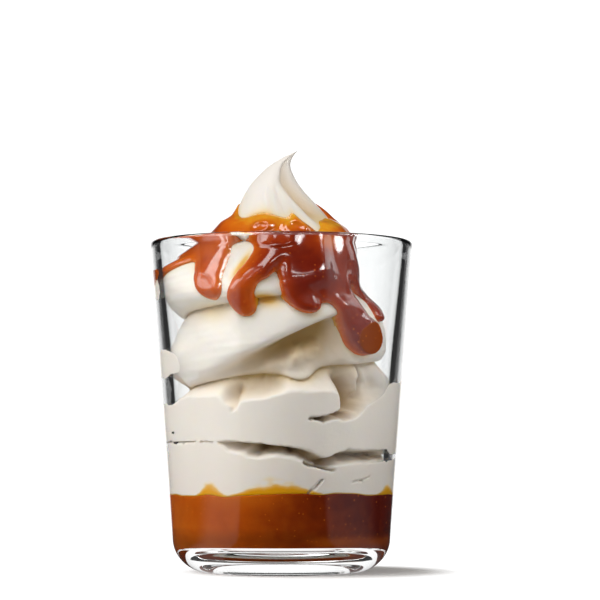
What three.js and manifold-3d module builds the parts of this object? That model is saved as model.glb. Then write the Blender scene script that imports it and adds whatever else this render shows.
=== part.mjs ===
// A caramel sundae in its tumbler: a caramel pool, a soft swirl of cream pressed against the wall and drawn up
// into a hooked peak, and a thick caramel topping that runs down in drips. Millimetres, +Z up, origin under the
// foot. A bearing is the angle round the axis in degrees: 0 is the front (-Y) and 90 is the right (+X).
import * as THREE from "three";
import { ParametricGeometry } from "three/addons/geometries/ParametricGeometry.js";
import { mergeVertices } from "three/addons/utils/BufferGeometryUtils.js";
import Module from "manifold-3d";

const { clamp, degToRad, lerp, smoothstep } = THREE.MathUtils;

// The tumbler.
const RIM_HEIGHT = 105.3;
const RIM_RADIUS = 42;
const WALL_TAPER = 0.0774;
const RIM_WALL = 3;
const LOWER_WALL = 4;
const WALL_THINS_OVER = 45;
const FLOOR_HEIGHT = 8.4;
const FLOOR_CORNER = 7;
const FOOT_CORNER = 11.3;
const REST_RING = { inner: 20.4, outer: 23.4 };
const PUNT_HEIGHT = 1.8;

// The cream.
const POOL_LEVEL = 24.9;
const POOL_RIPPLE = 0.5;
const TIP_HEIGHT = 134.9;
const CREASE_HEIGHTS = [17, 40.5, 62.5, 86.5, 104.5];
const SWIRL_RADIUS = 33.4;
const WALL_PRESS = 2.4;
const PEAK_SPREAD = 0.6;
const PEAK_FLARE = 1.05;
const CREASE_DEPTH = 5.6;
const FOLD_SAG = 2.4;
const SHOULDER_LEAN = -5;
const PEAK_LEAN = -2.2;
const TIP_REACH = 5.4;
const PEAK_BOW = -1.6;
const TIP_BACK = 2.4;
const VALLEY = { depth: 8.5, height: 72.5, rise: 0.23, above: 2.4, below: 5, tuck: 0.45 };
// Furrows in the cream, or ridges where the depth is below 0. Their ends are given as bearing and height, and
// width is half their width.
const FURROWS = [
  { from: [-25, 59], to: [-4, 61], width: 3.4, depth: 4.8 },
  { from: [35.5, 50.5], to: [38, 59], width: 2.5, depth: 6 },
  { from: [41, 54.6], to: [84, 64.6], width: 3.6, depth: 4 },
  { from: [47, 66.5], to: [48, 62.5], width: 3.2, depth: -3.2 },
  { from: [66, 61], to: [84, 61.5], width: 4.2, depth: -2.6 },
  { from: [-110, 59.5], to: [-68, 60], width: 3.4, depth: 5.5 },
  { from: [110, 60], to: [160, 56.5], width: 3, depth: 6 },
  { from: [-66, 42.7], to: [-26, 42.4], width: 2.2, depth: 5 },
  { from: [33, 36.8], to: [66, 37.6], width: 2, depth: 5 },
  { from: [176, 39], to: [215, 42.5], width: 2.2, depth: 5 },
];

// The topping.
const COAT_THICKNESS = 2.6;
const COAT_EDGE = 3.6;
const EDGE_SLOPE = 1.6;
const COAT_TOP = 111;
const COAT_BOTTOM = 100;
const CREASE_SHOWS = 0.45;
const BLEND = 1.6;
// Each run of topping: the bearing, height and half width at the places that its middle line passes.
const RUNS = [
  [[-90, 95.4, 3.6], [-77, 96.8, 2.4], [-68, 98.8, 2], [-62, 100.8, 2.4], [-57, 104, 4.4]],
  [[-55, 104.5, 6], [-48.5, 101.5, 4.2], [-41.5, 98.2, 4], [-35, 94.8, 4.2], [-31.5, 92, 4.3]],
  [[-2, 101.5, 6], [-6, 97.8, 5.2], [-10.5, 94.8, 4.2], [-14, 90.2, 3.8], [-17.6, 85.8, 4.5]],
  [[17, 98, 5.5], [18.5, 93, 5.2], [17.5, 87.6, 5.7]],
  [[26, 96, 7], [29.5, 90.6, 5.1]],
  [[41, 96, 9], [44, 87, 6.6], [44.5, 81.5, 5.6], [47.5, 75.2, 6]],
  [[60, 98, 7], [68, 94, 4.2], [76, 89.6, 3.5], [74.5, 86, 2.5], [69, 82.4, 1.5]],
  [[104, 101, 5], [108, 94, 3.6], [107, 88.5, 3.8]],
  [[137, 101, 6], [141, 92, 4.4], [139, 83, 3.8], [141, 76.5, 4.2]],
  [[170, 100, 5], [167, 93, 3.8], [168, 88.5, 4]],
  [[-157, 101, 6], [-153, 91, 4.4], [-150, 84, 3.6], [-152, 80, 3.9]],
  [[-118, 102, 5], [-113, 95, 3.8], [-115, 90.5, 4]],
];

// Clearance between pieces, and how finely they are faceted.
const GAP = 0.3;
const COLUMNS = 64;
const CREAM_ROWS = 42;
const COAT_COLUMNS = 80;
const COAT_ROWS = 23;
const ARC_STEPS = 4;
const COAT_SPAN = [66, 123];

const wasm = await Module();
wasm.setup();

const bell = (x, centre, width) => Math.exp(-(((x - centre) / width) ** 2));
const wave = (bearing, count, phase) => Math.sin(degToRad(count * bearing + phase));

/** The shorter way round from one bearing to another, in degrees. */
function turnBetween(from, to) {
  return THREE.MathUtils.euclideanModulo(to - from + 180, 360) - 180;
}

/** A bell round the axis. */
const sideBell = (bearing, centre, width) => bell(turnBetween(centre, bearing), 0, width);

function outerRadius(height) {
  return RIM_RADIUS - WALL_TAPER * (RIM_HEIGHT - height);
}

/** The wall is thin at the rim and thickens over the first part of its way down. */
function innerRadius(height) {
  const thickening = smoothstep(RIM_HEIGHT - height, 0, WALL_THINS_OVER);
  return outerRadius(height) - lerp(RIM_WALL, LOWER_WALL, thickening);
}

/** Points along a quarter-like arc of a profile, from one angle to another. */
function arc(centreRadius, centreHeight, radius, from, to, steps) {
  return Array.from({ length: steps + 1 }, (_, i) => {
    const angle = degToRad(lerp(from, to, i / steps));
    return new THREE.Vector2(centreRadius + radius * Math.cos(angle), centreHeight + radius * Math.sin(angle));
  });
}

/** The tumbler's profile, from the middle of the underside out, up the wall, over the rim and down inside. */
function tumblerProfile() {
  const foot = arc(REST_RING.outer, FOOT_CORNER, FOOT_CORNER, -90, -4, ARC_STEPS);
  const rimRadius = RIM_RADIUS - RIM_WALL / 2;
  const rim = arc(rimRadius, RIM_HEIGHT - RIM_WALL / 2, RIM_WALL / 2, 0, 180, ARC_STEPS);
  const wallHeights = [86, 72, 58, 36];
  const wall = wallHeights.map((height) => new THREE.Vector2(innerRadius(height), height));
  const cornerHeight = FLOOR_HEIGHT + FLOOR_CORNER;
  const corner = arc(innerRadius(cornerHeight) - FLOOR_CORNER, cornerHeight, FLOOR_CORNER, 0, -90, ARC_STEPS);
  return [
    new THREE.Vector2(0, PUNT_HEIGHT),
    new THREE.Vector2(REST_RING.inner - 5, PUNT_HEIGHT),
    new THREE.Vector2(REST_RING.inner, 0),
    ...foot,
    ...rim,
    ...wall,
    ...corner,
    new THREE.Vector2(0, FLOOR_HEIGHT),
  ];
}

/** The level where caramel pool and cream meet at the wall. */
function poolLevel(bearing) {
  return POOL_LEVEL + POOL_RIPPLE * (0.6 * wave(bearing, 2, 40) + 0.4 * wave(bearing, 5, 0));
}

/** How far a crease is lifted from its even spiral: the lowest one lies nearly level, and two dip in front. */
function creaseLift(bearing, height) {
  const levelling = -7.5 * wave(bearing, 1, 0) * bell(height, 39, 9);
  const upperDip = -2.6 * sideBell(bearing, 12, 10) * bell(height, 61, 6);
  const lowerDip = -2.4 * sideBell(bearing, 25, 9) * bell(height, 37, 6);
  return levelling + upperDip + lowerDip;
}

/** How many turns of the spiral lie below a height, counted in front. */
function turnsBelow(height) {
  const crossed = CREASE_HEIGHTS.filter((crease) => crease <= height).length;
  const turn = clamp(crossed - 1, 0, CREASE_HEIGHTS.length - 2);
  return turn + (height - CREASE_HEIGHTS[turn]) / (CREASE_HEIGHTS[turn + 1] - CREASE_HEIGHTS[turn]);
}

/** 0 in a crease, 1 on the crest of a fold: a round section whose crest lies below its middle. */
function foldBulge(bearing, height) {
  const turns = turnsBelow(height - creaseLift(bearing, height)) - bearing / 360;
  const across = (turns - Math.floor(turns)) ** 0.85;
  return Math.sqrt(1 - Math.abs(2 * across - 1) ** 2.3);
}

/** The peak, as a cone that flares slightly on its way down. */
function peakRadius(height) {
  return PEAK_SPREAD * Math.max(TIP_HEIGHT - height, 0) ** PEAK_FLARE;
}

/** The crests' distance from the swirl's own axis, before the wall holds them in. */
function crestRadius(bearing, height) {
  const cone = peakRadius(height);
  const free = -2 * Math.log(Math.exp(-SWIRL_RADIUS / 2) + Math.exp(-cone / 2));
  const pressed = innerRadius(height) + WALL_PRESS;
  const leftEnd = 3.9 * sideBell(bearing, -74, 17) * bell(height, 68, 6.5);
  const leftShoulder = 8.5 * sideBell(bearing, -85, 33) * bell(height, 98, 6.2);
  return lerp(pressed, free, smoothstep(height, 55, 65)) + leftEnd + leftShoulder;
}

/** The nearest point of a line on the swirl to a place: its share of the line, and how far off it is in mm. */
function nearestOn(from, to, bearing, height) {
  const radius = crestRadius(bearing, height);
  const start = new THREE.Vector2(degToRad(turnBetween(bearing, from[0])) * radius, from[1] - height);
  const along = new THREE.Vector2(degToRad(turnBetween(from[0], to[0])) * radius, to[1] - from[1]);
  const share = clamp(-start.dot(along) / along.lengthSq(), 0, 1);
  return { share, distance: start.addScaledVector(along, share).length() };
}

/** The depth of the broad valley across the front: steep above its line and gentle below. */
function broadValley(bearing, height) {
  const along = turnBetween(5, bearing);
  const belowLine = VALLEY.height + VALLEY.rise * along - height;
  const across = bell(belowLine, 0, belowLine > 0 ? VALLEY.below : VALLEY.above);
  return VALLEY.depth * across * bell(along, 10, along > 10 ? 26 : 34);
}

/** The groove where the peak's left lobe laps over its right one: steep on its left and gentle on its right. */
function peakGroove(bearing, height) {
  const pastLine = turnBetween(18 + 2.1 * Math.max(124 - height, 0), bearing);
  const across = bell(pastLine, 0, pastLine > 0 ? 34 : 7);
  return 0.16 * crestRadius(bearing, height) * across * smoothstep(height, 107, 114);
}

/** How deep all furrows, valleys and the peak's groove are at a place. */
function valleyDepth(bearing, height) {
  const furrows = FURROWS.map(({ from, to, width, depth }) => {
    return depth * bell(nearestOn(from, to, bearing, height).distance, 0, width);
  });
  const besideLobe = 3 * sideBell(bearing, 39 + 0.35 * (60 - height), 7) * bell(height, 59, 7);
  const wide = broadValley(bearing, height) + besideLobe + peakGroove(bearing, height);
  return furrows.reduce((sum, depth) => sum + depth, wide);
}

/** Where the swirl's own axis lies: how far to the right of the tumbler's, and how far behind it. */
function swirlAxis(height) {
  const hook = TIP_REACH * clamp((height - 128) / (TIP_HEIGHT - 128), 0, 1) ** 2;
  const back = TIP_BACK * clamp((height - 125) / (TIP_HEIGHT - 125), 0, 1) ** 2;
  const right = SHOULDER_LEAN * bell(height, 93, 9) + PEAK_LEAN * bell(height, 123, 7) + hook;
  return new THREE.Vector2(right, PEAK_BOW * bell(height, 121, 8) + back);
}

/**
 * A point on the cream's side, `out` mm outside its surface, and never nearer than `clear` mm to the wall. The
 * depth and the sag of folds and valleys are multiplied by `shows`.
 */
function swirlPoint(bearing, height, out, clear, target, shows = 1) {
  const bulge = foldBulge(bearing, height);
  const creases = CREASE_DEPTH * (1 - smoothstep(height, 92, 104)) * smoothstep(height, 24, 32);
  const hollow = creases * (1 - bulge) + valleyDepth(bearing, height);
  const reach = Math.max(crestRadius(bearing, height) - shows * hollow, 0) + out;
  const sag = shows * FOLD_SAG * bulge * smoothstep(height, 28, 40) * (1 - smoothstep(height, 96, 108));
  const angle = degToRad(bearing);
  const axis = swirlAxis(height);
  const lifted = height - sag + VALLEY.tuck * broadValley(bearing, height);
  target.set(axis.x + reach * Math.sin(angle), axis.y - reach * Math.cos(angle), lifted);
  const limit = innerRadius(target.z) - clear;
  const distance = Math.hypot(target.x, target.y);
  if (distance > limit) {
    target.x *= limit / distance;
    target.y *= limit / distance;
  }
  return target;
}

/** A closed surface over rings of points: row 0 and the last row each shrink to a point on the inside. */
function ringSurface(columns, rows, pointAt) {
  return new ParametricGeometry(
    (u, v, target) => pointAt((u % 1) * 360, Math.round(v * rows), target),
    columns,
    rows,
  );
}

/** The cream's whole surface, `out` mm larger all round: a flat base on the pool, the folds and the peak. */
function creamSurface(out, clear) {
  return ringSurface(COLUMNS, CREAM_ROWS, (bearing, row, target) => {
    const base = poolLevel(bearing) + GAP / 2;
    if (row === 0) return target.set(0, 0, POOL_LEVEL + GAP / 2 - out);
    if (row === 1) return swirlPoint(bearing, base, out, clear, target).setZ(base - out);
    if (row === CREAM_ROWS) return swirlPoint(0, TIP_HEIGHT, 0, clear, target);
    return swirlPoint(bearing, lerp(base, TIP_HEIGHT, (row - 1) / (CREAM_ROWS - 1)), out, clear, target);
  });
}

/** The caramel pool fills the bottom of the tumbler up to the cream. */
function poolSurface() {
  const cornerHeight = FLOOR_HEIGHT + FLOOR_CORNER;
  const cornerCentre = innerRadius(cornerHeight) - FLOOR_CORNER;
  const corner = arc(cornerCentre, cornerHeight, FLOOR_CORNER - GAP, -90, 0, ARC_STEPS);
  return ringSurface(COLUMNS, corner.length + 2, (bearing, row, target) => {
    const angle = degToRad(bearing);
    const place = (radius, height) => target.set(radius * Math.sin(angle), -radius * Math.cos(angle), height);
    const top = poolLevel(bearing) - GAP / 2;
    if (row === 0) return target.set(0, 0, FLOOR_HEIGHT + GAP);
    if (row <= corner.length) return place(corner[row - 1].x, corner[row - 1].y);
    if (row === corner.length + 1) return place(innerRadius(top) - GAP, top);
    return target.set(0, 0, POOL_LEVEL - GAP / 2);
  });
}

/** How deep a place lies inside a run of topping, in mm; below 0 it is outside. */
function depthInRun(bearing, height, run) {
  const depths = run.slice(1).map((to, i) => {
    const { share, distance } = nearestOn(run[i], to, bearing, height);
    return lerp(run[i][2], to[2], share) - distance;
  });
  return Math.max(...depths);
}

/** The larger of two values, with a rounded change from one to the other. */
function roundedMax(a, b) {
  const share = clamp(0.5 + (a - b) / (2 * BLEND), 0, 1);
  return lerp(b, a, share) + BLEND * share * (1 - share);
}

/** The height where the topping starts: low in front, drawn up the peak's left and right flanks. */
function topEdge(bearing) {
  const left = 9 * sideBell(bearing, -92, 32);
  const right = 7.5 * sideBell(bearing, 112, 14) + 1.4 * sideBell(bearing, 76, 14);
  const frontTip = 2.7 * sideBell(bearing, 14, 5);
  const frontDips = -2.9 * sideBell(bearing, 36, 10) - 2 * sideBell(bearing, -6, 12);
  const behind = 1.5 * wave(bearing, 3, 50) * smoothstep(Math.abs(bearing), 120, 150);
  return COAT_TOP + left + right + frontTip + frontDips + behind;
}

/** How deep a place lies inside the whole topping: a collar round the peak with the runs joined on. */
function depthInTopping(bearing, height) {
  const window = 3.9 * sideBell(bearing, -28, 16);
  const mass = -7 * sideBell(bearing, 34, 26);
  const behind = 2.2 * wave(bearing, 3, 20) * smoothstep(Math.abs(bearing), 90, 130);
  const collar = Math.min(topEdge(bearing) - height, height - (COAT_BOTTOM + window + mass + behind));
  return RUNS.reduce((depth, run) => roundedMax(depth, depthInRun(bearing, height, run)), collar);
}

/**
 * The topping's thickness: full inside, with a round edge, and thin where it is drawn up the left flank. The
 * long run in front reaches the wall at its end.
 */
function toppingThickness(bearing, height) {
  const depth = depthInTopping(bearing, height);
  if (depth <= 0) return GAP + Math.max(EDGE_SLOPE * depth, -COAT_THICKNESS);
  const atWall = 3.2 * sideBell(bearing, 49, 12) * bell(height, 75, 7);
  const leftEnd = 0.9 * sideBell(bearing, -20, 9) * bell(height, 86, 5);
  const middleEnd = 0.9 * sideBell(bearing, 14, 10) * bell(height, 87, 6);
  const swell = atWall + leftEnd + middleEnd + 0.6 * sideBell(bearing, 20, 28);
  const drawnThin = 1 - 0.7 * smoothstep(height, 111, 114) * sideBell(bearing, -85, 40);
  const edge = Math.min(depth / COAT_EDGE, 1);
  return GAP + (COAT_THICKNESS + swell) * drawnThin * Math.sqrt(1 - (1 - edge) ** 2);
}

/** The topping's outside, which hides part of the folds' depth, and lies just inside the cream elsewhere. */
function toppingOuterSurface() {
  const axis = swirlAxis(COAT_SPAN[1]);
  return ringSurface(COAT_COLUMNS, COAT_ROWS, (bearing, row, target) => {
    const side = turnBetween(0, bearing);
    if (row === 0) return target.set(0, 0, COAT_SPAN[0]);
    if (row === COAT_ROWS) return target.set(axis.x, axis.y, COAT_SPAN[1]);
    const height = lerp(COAT_SPAN[0], COAT_SPAN[1], (row - 1) / (COAT_ROWS - 2));
    const covered = clamp(depthInTopping(side, height) / 2 + 0.5, 0, 1);
    const shows = lerp(1, CREASE_SHOWS, covered);
    return swirlPoint(bearing, height, toppingThickness(side, height), GAP, target, shows);
  });
}

/** Shares the vertices of a surface and drops the triangles that shrink to nothing at its poles. */
function welded(geometry) {
  geometry.deleteAttribute("normal");
  geometry.deleteAttribute("uv");
  const shared = mergeVertices(geometry, 1e-3);
  const kept = [];
  for (let i = 0; i < shared.index.count; i += 3) {
    const [a, b, c] = [0, 1, 2].map((corner) => shared.index.getX(i + corner));
    if (a !== b && b !== c && c !== a) kept.push(a, b, c);
  }
  shared.setIndex(kept);
  return shared;
}

function solidOf(geometry) {
  const shared = welded(geometry);
  return new wasm.Manifold(
    new wasm.Mesh({
      numProp: 3,
      vertProperties: shared.attributes.position.array,
      triVerts: new Uint32Array(shared.index.array),
    }),
  );
}

/** The largest body of a solid, as a geometry. */
function largestBody(solid) {
  const bodies = solid.decompose().sort((a, b) => b.volume() - a.volume());
  const mesh = bodies[0].getMesh();
  const geometry = new THREE.BufferGeometry();
  geometry.setAttribute("position", new THREE.BufferAttribute(mesh.vertProperties, 3));
  geometry.setIndex(new THREE.BufferAttribute(mesh.triVerts, 1));
  return geometry;
}

function toppingGeometry() {
  const outside = solidOf(toppingOuterSurface());
  const creamWithGap = solidOf(creamSurface(GAP * 1.5, -2));
  return largestBody(outside.subtract(creamWithGap));
}

function piece(name, geometry, color, roughness, opacity = 1) {
  geometry.computeVertexNormals();
  const material = new THREE.MeshStandardMaterial({
    color,
    roughness,
    metalness: 0,
    opacity,
    transparent: opacity < 1,
  });
  const mesh = new THREE.Mesh(geometry, material);
  mesh.name = name;
  return mesh;
}

const tumbler = new THREE.LatheGeometry(tumblerProfile(), COLUMNS).rotateX(Math.PI / 2);

const sundae = new THREE.Group();
sundae.add(
  piece("glass_tumbler", tumbler, 0xe8eef0, 0.05, 0.35),
  piece("caramel_pool", welded(poolSurface()), 0x8a3e08, 0.2),
  piece("cream_swirl", welded(creamSurface(0, GAP)), 0xf4efe4, 0.5),
  piece("caramel_topping", toppingGeometry(), 0xa33410, 0.15),
);

export default sundae;
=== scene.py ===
"""A caramel sundae in its tumbler: caramel pool, soft cream swirl with a hooked peak, and running topping.

Form functions work in millimetres and in bearings: degrees round the axis, 0 at the front (-Y), 90 at the
right (+X). MM turns them into metres as a mesh is made. The studio's places and sizes are in metres.
"""

import logging
from dataclasses import dataclass
from enum import Enum

import bpy
import numpy as np
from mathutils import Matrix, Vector


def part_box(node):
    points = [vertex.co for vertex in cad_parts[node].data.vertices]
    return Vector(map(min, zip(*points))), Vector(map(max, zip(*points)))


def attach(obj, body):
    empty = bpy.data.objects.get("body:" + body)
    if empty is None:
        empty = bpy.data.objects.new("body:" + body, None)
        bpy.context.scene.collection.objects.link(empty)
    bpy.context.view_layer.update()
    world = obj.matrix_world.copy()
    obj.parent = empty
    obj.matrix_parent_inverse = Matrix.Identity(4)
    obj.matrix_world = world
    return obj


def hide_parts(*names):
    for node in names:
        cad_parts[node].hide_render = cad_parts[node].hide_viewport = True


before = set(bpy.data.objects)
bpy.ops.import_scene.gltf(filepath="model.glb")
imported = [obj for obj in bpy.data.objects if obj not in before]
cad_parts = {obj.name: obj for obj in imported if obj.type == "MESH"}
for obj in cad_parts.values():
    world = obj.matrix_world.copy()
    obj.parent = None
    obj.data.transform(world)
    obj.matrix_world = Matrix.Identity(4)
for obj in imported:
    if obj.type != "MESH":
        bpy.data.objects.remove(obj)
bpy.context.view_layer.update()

log = logging.getLogger("sundae")

MM = 0.001
Array = np.ndarray
Link = bpy.types.NodeSocket
Colour = tuple[float, ...]
Pair = tuple[float, float]
Triple = tuple[float, float, float]
Object = bpy.types.Object
Material = bpy.types.Material


class Piece(Enum):
    """The pieces: each one's title, the node that it stands for and its finish's slot."""

    TUMBLER = ("tumbler_clear", "glass_tumbler", "glass")
    POOL = ("pool_of_caramel", "caramel_pool", "caramel_pool")
    CREAM = ("soft_cream", "cream_swirl", "cream")
    TOPPING = ("running_topping", "caramel_topping", "caramel_topping")

    def __init__(self, title: str, node: str, slot: str) -> None:
        """Names the parts of the value."""
        self.title = title
        self.node = node
        self.slot = slot


# ------------------------------ arithmetic


def bell(x: Array, centre: float | Array, width: float | Array) -> Array:
    """exp(-((x - centre) / width) squared)."""
    return np.exp(-(((x - centre) / width) ** 2))


def lopsided_bell(x: Array, centre: float, above: float | Array, below: float) -> Array:
    """A bell with one width above its centre and another below it."""
    return bell(x, centre, np.where(x > centre, above, below))


def smoothstep(x: Array, low: float, high: float) -> Array:
    """0 below low, 1 above high, and 3 t^2 - 2 t^3 between, as t runs from 0 to 1."""
    t = np.clip((x - low) / (high - low), 0.0, 1.0)
    return t * t * (3.0 - 2.0 * t)


def turn_between(start: float | Array, end: float | Array) -> Array:
    """The shorter way round from one bearing to another, from -180 up to 180 degrees."""
    return (end - start + 180.0) % 360.0 - 180.0


def side_bell(bearing: Array, centre: float | Array, width: float) -> Array:
    """A bell round the axis."""
    return bell(turn_between(centre, bearing), 0.0, width)


def side_bells(bearing: Array, bells: tuple[Triple, ...]) -> Array:
    """The sum of bells round the axis, each given by its amount, bearing and width."""
    return sum(amount * side_bell(bearing, middle, width) for amount, middle, width in bells)


def wave(bearing: Array, count: int, phase: float) -> Array:
    """sin(count x bearing + phase), all in degrees."""
    return np.sin(np.radians(count * bearing + phase))


def rounded_max(a: Array, b: Array, blend: float) -> Array:
    """The larger of two fields, with a change from one to the other that is blend mm round."""
    share = np.clip(0.5 + (a - b) / (2.0 * blend), 0.0, 1.0)
    return b + (a - b) * share + blend * share * (1.0 - share)


def line_distance(
    bearing: Array, height: Array, start: tuple[float, ...], end: tuple[float, ...], radius: float | Array
) -> tuple[Array, Array, Array]:
    """How far places on a drum lie from a line between two bearings and heights.

    Args:
        bearing: Degrees round the axis.
        height: Millimetres up.
        start: Bearing and height where the line starts.
        end: Bearing and height where it ends.
        radius: The drum's radius in millimetres.

    Returns:
        The distance to the line's nearest point, how far above that point a place lies, and the share of the
        line that ends there.
    """
    right = np.radians(turn_between(bearing, start[0])) * radius
    across = np.radians(turn_between(start[0], end[0])) * radius
    below = start[1] - height
    up = end[1] - start[1]
    share = np.clip(-(right * across + below * up) / np.maximum(across**2 + up**2, 1e-9), 0.0, 1.0)
    above = -(below + share * up)
    return np.hypot(right + share * across, above), above, share


def linear(red: float, green: float, blue: float) -> Colour:
    """A colour given as 0 to 255 on a display, as linear light."""
    shares = np.array([red, green, blue]) / 255.0
    values = np.where(shares <= 0.04045, shares / 12.92, ((shares + 0.055) / 1.055) ** 2.4)
    return (*map(float, values), 1.0)


@dataclass(frozen=True)
class Grain:
    """Smooth random relief without a seam: draws at a net's corners, blended between them by smoothstep.

    Args:
        amount: The most that it rises or falls.
        cells: Cells of the net in one turn.
        pitch: A cell's height in millimetres.
        seed: Which draw.
        rows: Rows of the net before it repeats.
    """

    amount: float
    cells: int
    pitch: float
    seed: int
    rows: int = 64

    def at(self, bearing: Array, height: Array) -> Array:
        """The relief at each bearing and height.

        Args:
            bearing: Degrees round the axis.
            height: Millimetres up.

        Returns:
            The relief at each place.
        """
        net = np.random.default_rng(self.seed).uniform(-1.0, 1.0, (self.rows, self.cells))
        u = bearing % 360.0 / 360.0 * self.cells
        v = height / self.pitch % self.rows
        i = np.floor(u).astype(int) % self.cells
        j = np.floor(v).astype(int) % self.rows
        i_next = (i + 1) % self.cells
        j_next = (j + 1) % self.rows
        s = smoothstep(u - np.floor(u), 0.0, 1.0)
        t = smoothstep(v - np.floor(v), 0.0, 1.0)
        low = net[j, i] * (1 - s) + net[j, i_next] * s
        high = net[j_next, i] * (1 - s) + net[j_next, i_next] * s
        return self.amount * (low * (1 - t) + high * t)


@dataclass(frozen=True)
class Swell:
    """A soft round rise, or a dip below 0: an amount x a bell round the axis x a bell up the side."""

    amount: float
    bearing: float
    width: float
    height: float
    reach: float

    def at(self, bearing: Array, height: Array) -> Array:
        """The rise at each bearing and height."""
        round_axis = side_bell(bearing, self.bearing, self.width)
        return self.amount * round_axis * bell(height, self.height, self.reach)


# ------------------------------ meshes


def linked(title: str, data: bpy.types.ID) -> Object:
    """A new object in the scene."""
    made = bpy.data.objects.new(title, data)
    bpy.context.scene.collection.objects.link(made)
    return made


def mesh_object(
    piece: Piece, vertices: Array, faces: list[Array], values: dict[str, Array] | None = None
) -> Object:
    """Puts arrays into a new smooth mesh object at the origin.

    Args:
        piece: Which piece it is.
        vertices: n x 3 places in millimetres.
        faces: Arrays of vertex numbers, one row for each face, of quads or of triangles.
        values: Named numbers, one for each vertex, for the materials.

    Returns:
        The object, linked to the scene.
    """
    mesh = bpy.data.meshes.new(piece.title)
    corners = np.concatenate([f.reshape(-1) for f in faces])
    sizes = np.concatenate([np.full(len(f), f.shape[1]) for f in faces])
    mesh.vertices.add(len(vertices))
    mesh.vertices.foreach_set("co", (vertices * MM).astype(np.float32).reshape(-1))
    mesh.loops.add(len(corners))
    mesh.loops.foreach_set("vertex_index", corners.astype(np.int32))
    mesh.polygons.add(len(sizes))
    mesh.polygons.foreach_set("loop_start", (np.cumsum(sizes) - sizes).astype(np.int32))
    mesh.polygons.foreach_set("use_smooth", np.ones(len(sizes), dtype=bool))
    mesh.update(calc_edges=True)
    mesh.validate()
    for title, numbers in (values or {}).items():
        layer = mesh.attributes.new(title, "FLOAT", "POINT")
        layer.data.foreach_set("value", numbers.astype(np.float32).reshape(-1))
    return linked(piece.title, mesh)


def ring_faces(rows: int, columns: int) -> Array:
    """Quads between rows of rings, whose last column meets the first, facing outwards where rows go up.

    Args:
        rows: How many rings.
        columns: How many points in a ring.

    Returns:
        Vertex numbers, one row of four for each quad.
    """
    row, column = np.meshgrid(np.arange(rows - 1) * columns, np.arange(columns), indexing="ij")
    after = (column + 1) % columns
    quads = [row + column, row + after, row + columns + after, row + columns + column]
    return np.stack(quads, axis=-1).reshape(-1, 4)


def closed_rings(rings: Array, first: Triple, last: Triple) -> tuple[Array, list[Array]]:
    """Closes a stack of rings with a point below the first ring and one above the last.

    Args:
        rings: rows x columns x 3 places.
        first: The place that closes the first ring.
        last: The place that closes the last ring.

    Returns:
        The vertices, and the quads and triangles.
    """
    rows, columns = rings.shape[:2]
    vertices = np.concatenate([rings.reshape(-1, 3), [first], [last]])
    column = np.arange(columns)
    after = (column + 1) % columns
    top = (rows - 1) * columns
    bottom_fan = np.stack([after, column, np.full(columns, rows * columns)], axis=-1)
    top_fan = np.stack([top + column, top + after, np.full(columns, rows * columns + 1)], axis=-1)
    return vertices, [ring_faces(rows, columns), np.concatenate([bottom_fan, top_fan])]


def without_corner_touches(kept: Array) -> Array:
    """Keeps all four quads round a corner where only two of them, across from each other, were kept.

    Args:
        kept: rows x columns, true for a kept quad; the last column meets the first.

    Returns:
        The same, with those quads kept too, so that the shell's rim never meets itself.
    """
    below, above = kept[:-1], kept[1:]
    below_next, above_next = np.roll(below, -1, axis=1), np.roll(above, -1, axis=1)
    touch = (below == above_next) & (below_next == above) & (below != above)
    filled = kept.copy()
    for beside in (touch, np.roll(touch, 1, axis=1)):
        filled[:-1] |= beside
        filled[1:] |= beside
    return filled


def closed_shell(outer: Array, inner: Array, quads: Array) -> tuple[Array, list[Array], Array]:
    """Closes kept quads of an outer skin with the same quads of an inner one and a strip round each edge.

    Args:
        outer: n x 3 places of the outer skin.
        inner: n x 3 places of the inner skin.
        quads: The kept quads, facing outwards.

    Returns:
        The vertices that are used, the faces, and the vertices' numbers in the stacked skins.
    """
    count = len(outer)
    edges = np.concatenate([quads[:, [k, (k + 1) % 4]] for k in range(4)])
    key = edges[:, 0] * count + edges[:, 1]
    twin = edges[:, 1] * count + edges[:, 0]
    start, end = edges[~np.isin(key, twin)].T
    strip = np.stack([end, start, start + count, end + count], axis=1)
    faces = np.concatenate([quads, quads[:, ::-1] + count, strip])
    used, renumbered = np.unique(faces, return_inverse=True)
    return np.concatenate([outer, inner])[used], [renumbered.reshape(faces.shape)], used


def blurred(values: Array, reach: int) -> Array:
    """A field smoothed by a bell over its neighbours, without a seam round the axis.

    Args:
        values: The field, rows x columns.
        reach: The bell's width in neighbours; twice as many count on each side.

    Returns:
        The smoothed field.
    """
    weights = bell(np.arange(-2 * reach, 2 * reach + 1), 0.0, reach)
    weights /= weights.sum()
    result = sum(w * np.roll(values, k - 2 * reach, axis=1) for k, w in enumerate(weights))
    padded = np.pad(result, ((2 * reach, 2 * reach), (0, 0)), mode="edge")
    return sum(w * padded[k : k + len(values)] for k, w in enumerate(weights))


def places(*coordinates: Array | float) -> Array:
    """Coordinates brought together as places, along a new last axis."""
    return np.stack(np.broadcast_arrays(*coordinates), axis=-1)


def whole_turn(columns: int) -> Array:
    """Even bearings once round the axis, as one row."""
    return (np.arange(columns) * 360.0 / columns)[None]


def around(bearing: Array, radius: Array, height: Array) -> Array:
    """Places at a radius from the axis: x = r sin b, y = -r cos b."""
    angle = np.radians(bearing)
    return places(radius * np.sin(angle), -radius * np.cos(angle), height)


def arc(centre: Pair, radius: float, start: float, end: float, steps: int) -> Array:
    """Profile points on an arc, as radius and height, from one angle in degrees to another."""
    angle = np.radians(np.linspace(start, end, steps + 1))
    return places(centre[0] + radius * np.cos(angle), centre[1] + radius * np.sin(angle))


# ------------------------------ forms


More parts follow.
